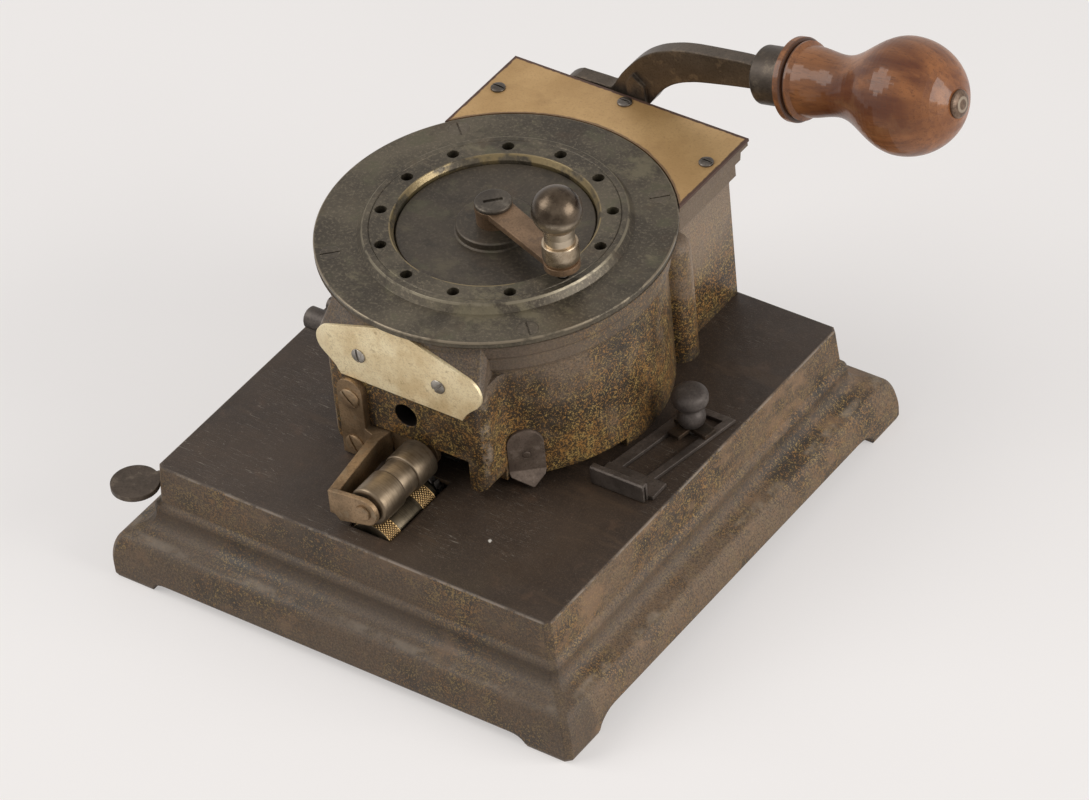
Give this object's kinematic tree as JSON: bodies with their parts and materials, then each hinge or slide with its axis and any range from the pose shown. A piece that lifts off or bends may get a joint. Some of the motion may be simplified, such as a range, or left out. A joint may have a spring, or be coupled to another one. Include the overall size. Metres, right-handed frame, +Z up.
{
  "type": "check writer",
  "caption": "Desk check writer: japanned cast base and round head, index dial with crank and pull knob, press lever with turned wooden handle, feed rollers and sliding check gauge.",
  "frame": {"origin": "on the table, under the centre of the base's flat top", "axes": "+X to the right along the front, +Y to the rear, +Z up"},
  "size_m": [0.254, 0.2413, 0.1853],
  "materials": {
    "base_japan": "worn dark brown-black japan, satin",
    "head_japan": "black japan sponged with ochre, worn satin",
    "patina_bronze": "dark green-grey bronze patina, bright worn edges",
    "tan_brass": "matt tan brass",
    "pale_brass": "pale satin brass, bare",
    "worn_brass": "worn brown brass",
    "dark_bronze": "dark brown bronze, satin",
    "worn_knob": "worn polished nickel over bronze",
    "screw_steel": "grey steel, slotted heads",
    "dark_steel": "blackened steel, satin",
    "inner_steel": "machined steel, oiled",
    "wheel_iron": "machined cast iron",
    "red_wood": "glossy varnished reddish-brown hardwood"
  },
  "bodies": {
    "frame": {"base_casting": "base_japan", "die_plate": "inner_steel", "die_screws": "screw_steel", "head_casting": "head_japan", "head_bolts": "screw_steel", "index_ring": "patina_bronze", "ring_screws": "screw_steel", "top_plate": "tan_brass", "top_plate_screws": "screw_steel", "nameplate": "pale_brass", "nameplate_screws": "screw_steel", "roller_bracket": "worn_brass", "bracket_screws": "screw_steel", "line_pointer": "dark_steel", "pointer_rivet": "screw_steel", "front_bearing": "dark_steel", "rear_bearing": "dark_steel", "bearing_screws": "screw_steel", "front_bush": "worn_brass", "rear_bush": "worn_brass", "spindle_bush": "worn_brass", "plunger_guide": "dark_steel", "guide_screws": "screw_steel", "release_stud": "inner_steel", "gauge_stud": "inner_steel", "gauge_clamp": "worn_brass", "pawl_stud": "inner_steel", "side_pin": "dark_steel"},
    "press_lever": {"lever_arm": "dark_bronze", "lever_shaft": "inner_steel", "shaft_nut": "inner_steel", "hammer_arm": "dark_steel", "hammer_pin": "inner_steel", "handle_ferrule": "dark_bronze", "handle_rod": "inner_steel", "wood_handle": "red_wood", "handle_button": "dark_bronze"},
    "hammer": {"plunger": "inner_steel", "return_spring": "inner_steel"},
    "indexer": {"index_spindle": "inner_steel", "dial_disc": "patina_bronze", "crank_arm": "dark_bronze", "crank_screw": "worn_knob", "knob_barrel": "worn_knob", "punch_wheel": "wheel_iron", "wheel_pin": "inner_steel", "punch_pins": "inner_steel"},
    "pull_knob": {"index_knob": "worn_knob", "index_pin": "inner_steel"},
    "feed_drum": {"feed_roller": "worn_brass", "feed_shaft": "inner_steel", "ratchet_wheel": "inner_steel"},
    "upper_roller": {"pressure_roller": "worn_brass", "pressure_shaft": "inner_steel"},
    "pawl": {"feed_pawl": "dark_steel"},
    "gauge": {"check_gauge": "dark_steel"},
    "gauge_screw": {"gauge_thumbscrew": "dark_steel"},
    "release": {"release_lever": "dark_steel"},
    "button": {"side_button": "dark_steel"}
  },
  "joints": [
    {"name": "press_lever_pivot", "type": "hinge", "parent": "frame", "child": "press_lever", "pos_m": [-0.025, 0.1066, 0.107], "axis": [0, 1, 0], "range_deg": [0, 22], "stiffness_Nm_per_rad": 0.8, "springref_deg": -34.38},
    {"name": "hammer_slide", "type": "slide", "parent": "frame", "child": "hammer", "axis": [0, 0, 1], "range_m": [-0.0086, 0], "deforming": ["return_spring"]},
    {"name": "index_turn", "type": "hinge", "parent": "frame", "child": "indexer", "pos_m": [-0.0026, 0.0121, 0.12], "axis": [0, 0, 1], "continuous": true},
    {"name": "pull_knob_slide", "type": "slide", "parent": "indexer", "child": "pull_knob", "axis": [0, 0, 1], "range_m": [0, 0.0035], "stiffness_N_per_m": 300, "springref_m": -0.004},
    {"name": "feed_turn", "type": "hinge", "parent": "frame", "child": "feed_drum", "pos_m": [0.0036, -0.07, 0.04195], "axis": [0, 1, 0], "continuous": true},
    {"name": "upper_roller_turn", "type": "hinge", "parent": "frame", "child": "upper_roller", "pos_m": [0.0036, -0.07, 0.0606], "axis": [0, 1, 0], "continuous": true},
    {"name": "pawl_pivot", "type": "hinge", "parent": "frame", "child": "pawl", "pos_m": [0.0226, -0.052, 0.035], "axis": [0, 1, 0], "range_deg": [-14, 0], "stiffness_Nm_per_rad": 0.01, "springref_deg": 17.19},
    {"name": "gauge_slide", "type": "slide", "parent": "frame", "child": "gauge", "axis": [0.1736, 0.9848, 0], "range_m": [-0.004, 0.02]},
    {"name": "gauge_screw_turn", "type": "hinge", "parent": "frame", "child": "gauge_screw", "pos_m": [0.0743, 0.0198, 0.06], "axis": [0, 0, 1], "range_deg": [0, 360]},
    {"name": "release_pivot", "type": "hinge", "parent": "frame", "child": "release", "pos_m": [-0.0747, -0.0666, 0.036], "axis": [0, 0, 1], "range_deg": [-10, 0]},
    {"name": "button_slide", "type": "slide", "parent": "frame", "child": "button", "axis": [1, 0, 0], "range_m": [0, 0.004], "stiffness_N_per_m": 200, "springref_m": -0.004}
  ],
  "couplings": [
    {"joint": "hammer_slide", "follows": "press_lever_pivot", "m_per_rad": -0.0219},
    {"joint": "upper_roller_turn", "follows": "feed_turn", "ratio": -1.2654}
  ]
}
